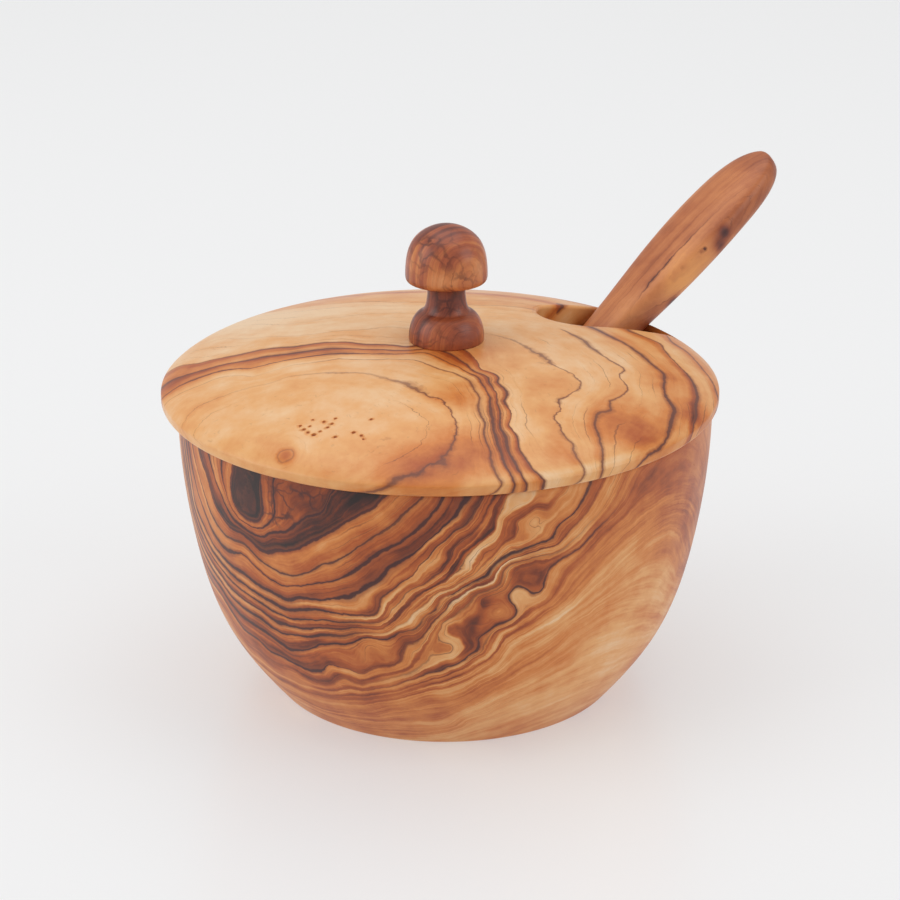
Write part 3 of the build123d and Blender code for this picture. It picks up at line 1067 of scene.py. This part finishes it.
lean = radians(spoon_lean)
off_edge = rim_round + spoon_clearance + stem_thickness / 2
edge_reach = sqrt((mouth_radius + rim_round) ** 2 - spoon_side**2)
over_rim_reach = edge_reach - off_edge * sin(lean)
over_rim_height = rim_shoulder + off_edge * cos(lean)
scoop_drop = hypot(scoop_length / 2 * sin(lean), scoop_depth * cos(lean))
scoop_height = bowl_floor + spoon_clearance + scoop_drop
over_rim_at = (over_rim_height - scoop_height) / sin(lean)
end_at = over_rim_at + handle_beyond_rim
neck_at = scoop_length / 2 + neck_reach
paddle_at = end_at - paddle_end
start_at = scoop_length / 3


def bowed(distance):
    """Fall of the handle's middle line, away from where it crosses the mouth's edge."""
    return -handle_bow * ((distance - over_rim_at) / 100) ** 2


half_widths = smooth_line(
    [
        (start_at, neck_width / 2 + neck_flare),
        (neck_at, neck_width / 2),
        (over_rim_at, stem_width / 2),
        (paddle_at, paddle_width / 2),
        (end_at, 0),
    ],
    leave=(1, 0),
    arrive=(0, -1),
    spacing=0.1,
)


def face_line(side):
    """Upper (side 1) or lower (side -1) outline of the handle, seen from its side."""
    return smooth_line(
        [
            (start_at, -scoop_lip_step if side > 0 else scoop_lip_step - neck_thickness),
            (neck_at, bowed(neck_at) + neck_crank + side * neck_thickness / 2),
            (over_rim_at, side * stem_thickness / 2),
            (paddle_at, bowed(paddle_at) + side * paddle_thickness / 2),
            (end_at, bowed(end_at) + side * paddle_thickness / 4),
        ],
        leave=(1, 0.15 * side),
        arrive=(1, -0.35 * side),
        spacing=0.5,
    )


def handle_blank():
    """The handle as rings along its length, each a rounded rectangle, closed at both ends."""
    upper, lower = face_line(1), face_line(-1)
    stations = list(np.linspace(start_at, end_at - tip_run, 80))
    stations += [end_at - tip_run + tip_run * sin(t) for t in np.linspace(0.08, pi / 2 - 0.03, 24)]
    rings = []
    for at in stations:
        top, bottom = height_on(upper, at), height_on(lower, at)
        half_width = height_on(half_widths, at)
        ring = []
        for index in range(ring_points):
            angle = 2 * pi * index / ring_points
            c, s = cos(angle), sin(angle)
            stretch = (abs(c) ** squareness + abs(s) ** squareness) ** (-1 / squareness)
            across = half_width * stretch * c
            up = (top + bottom) / 2 + (top - bottom) / 2 * stretch * s
            ring.append(Vector((at, across, up)) * MM)
        rings.append(ring)
    return lofted(rings)


def oval(inset):
    """A full oval, from which the scoop's outside or hollow is cut."""
    deselect()
    bpy.ops.mesh.primitive_uv_sphere_add(segments=96, ring_count=64, radius=MM)
    shape = bpy.context.object
    shape.scale = (scoop_length / 2 - inset, scoop_width / 2 - inset, scoop_depth - inset)
    bpy.ops.object.transform_apply(location=False, rotation=False, scale=True)
    return shape


def scoop_blank():
    """Lower half of the oval, closed across its top."""
    scoop = oval(0)
    bpy.ops.object.mode_set(mode="EDIT")
    bpy.ops.mesh.select_all(action="SELECT")
    bpy.ops.mesh.bisect(plane_co=(0, 0, 0), plane_no=(0, 0, 1), use_fill=True, clear_outer=True)
    face_outwards()
    return scoop


spoon = scoop_blank()
spoon.name = spoon.data.name = "carved_spoon"
combine(spoon, handle_blank(), "UNION")
combine(spoon, oval(scoop_wall), "DIFFERENCE")
carving = spoon.modifiers.new("carving", "REMESH")
carving.mode = "VOXEL"
carving.voxel_size = carving_voxel * MM
bpy.ops.object.modifier_apply(modifier="carving")
softening = spoon.modifiers.new("sanding", "SMOOTH")
softening.factor = 0.5
softening.iterations = 8
bpy.ops.object.modifier_apply(modifier="sanding")
bpy.ops.object.shade_smooth()
stick = points_of(spoon)
along, across, up = stick.T
paint_stick(spoon, np.column_stack([across, up, along]), spoon_pith, spoon_ring)

# Marks painted on the spoon: place along, across and up from its scoop, reach and value
rim_at, tip_at = over_rim_at, end_at
spoon_tones_light_and_shade = [
    ((tip_at - 3, 0, 0), 9, 0.54),
    # This mark lightens the upper face near the tip: painted light
    ((tip_at - 12, -2, 3.6), 6, 0.36),
    # These three marks darken the side face near the tip: painted shade
    ((tip_at - 18, -7.6, 0), 4, 0.62),
    ((tip_at - 11, -7.2, -0.5), 4, 0.62),
    ((tip_at - 5, -4.5, -1), 3, 0.58),
    ((rim_at + 20, 2, 2), 14, 0.44),
    ((rim_at + 4, -4, 3), 6, 0.30),
    ((rim_at + 13.5, -6.1, -0.2), 2.6, 0.0),
    ((rim_at + 17, -6.4, 0.3), 3.2, 0.0),
    ((rim_at + 21, -6.6, 0.9), 3.2, 0.0),
    ((rim_at + 24.5, -6.9, 0.4), 2.6, 0.05),
    ((rim_at + 12.5, -5.6, -2.8), 2.0, 0.98),
    ((rim_at + 28.5, -7.3, -0.8), 1.7, 0.95),
    ((rim_at + 31, -7.5, 0.4), 1.6, 0.9),
    ((rim_at + 5, -4.4, -3), 4, 0.66),
    ((scoop_length / 4, 0, -6), 14, 0.5),
]
paint(spoon, "tone", dabs(stick, 0.42, spoon_tones_light_and_shade))
ridge = [
    ((rim_at + 12, -5.4, 2.8), 3.5, 1.0),
    ((rim_at + 18, -5.6, 3.0), 3.5, 1.0),
    ((rim_at + 24, -6.2, 2.8), 3.5, 1.0),
    ((rim_at + 30, -7.2, 1.4), 3.0, 1.0),
]
paint(spoon, "bold", dabs(stick, 0.15, ridge))
spoon_browns = [
    (0.0, 228, 158, 92),
    (0.25, 206, 134, 82),
    (0.5, 178, 104, 62),
    (0.7, 138, 70, 44),
    (0.85, 94, 46, 38),
    (1.0, 56, 30, 32),
]
olive_wood(
    spoon,
    "spoon_olive_wood",
    plain_bands,
    spoon_browns,
    shade(84, 42, 32),
    wander=0.8,
    line_width=0.2,
    streak_depth=0.34,
    polish=(0.4, 0.28),
)
scoop_reach = over_rim_reach - over_rim_at * cos(lean)
notch_line = Vector((cos(radians(notch_azimuth)), sin(radians(notch_azimuth)), 0))
across_line = Vector((-notch_line.y, notch_line.x, 0))
spoon_place = (
    Matrix.Translation(
        (notch_line * scoop_reach + across_line * spoon_side + Vector((0, 0, scoop_height))) * MM
    )
    @ Matrix.Rotation(radians(notch_azimuth), 4, "Z")
    @ Matrix.Rotation(-lean, 4, "Y")
)
spoon.data.transform(spoon_place)
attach(spoon, "spoon")
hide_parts("spoon")

# The jar stands on a wide pale table in soft even daylight with three large soft lamps, and the
# camera sees it from the photograph's angle.

deselect()
bpy.ops.mesh.primitive_plane_add(size=6.0)
table = bpy.context.object
table.name = "pale_table"
pale, pale_tree = new_finish("pale_table")
lacquer = {
    "Base Color": (0.456, 0.461, 0.467, 1),
    "Roughness": 0.3,
    "Emission Color": (1, 1, 1, 1),
    "Emission Strength": 0.40,
}
plug(pale_tree, pale_tree.nodes["Principled BSDF"], lacquer)
table.data.materials.append(pale)

daylight = 0.55
brighter_when_seen = 0.23
world = bpy.data.worlds.new("daylight_tent")
world.use_nodes = True
sky = world.node_tree
seen = node(sky, "ShaderNodeLightPath", {}).outputs["Is Camera Ray"]
strength = added(sky, daylight, seen, brighter_when_seen)
plug(sky, sky.nodes["Background"], {"Color": (1, 1, 1, 1), "Strength": strength})
bpy.context.scene.world = world
jar_middle = Vector((0, 0, 0.05))


def soft_box(name, place, size, power):
    """A large soft lamp that faces the jar."""
    lamp = bpy.data.lights.new(name, "AREA")
    lamp.shape = "SQUARE"
    lamp.size = size
    lamp.energy = power
    holder = bpy.data.objects.new(name, lamp)
    holder.location = place
    holder.rotation_euler = (jar_middle - Vector(place)).to_track_quat("-Z", "Y").to_euler()
    bpy.context.scene.collection.objects.link(holder)


soft_box("overhead_box", (0, 0.15, 1.1), 1.1, 4.6)
soft_box("left_box", (-0.9, -0.25, 0.5), 0.8, 3.6)
soft_box("right_box", (0.95, -0.35, 0.55), 0.7, 2.4)

camera_pitch = 21.484
camera_data = bpy.data.cameras.new("camera")
camera_data.lens = 115.97
camera_data.sensor_width = 36
camera_data.clip_start = 0.01
camera_data.clip_end = 20
camera = bpy.data.objects.new("camera", camera_data)
camera.location = Vector((1.03, -562.59, 271.08)) * MM
camera.rotation_euler = (radians(90 - camera_pitch), 0, 0)
bpy.context.scene.collection.objects.link(camera)
bpy.context.scene.camera = camera
bpy.context.scene.view_settings.view_transform = "Standard"
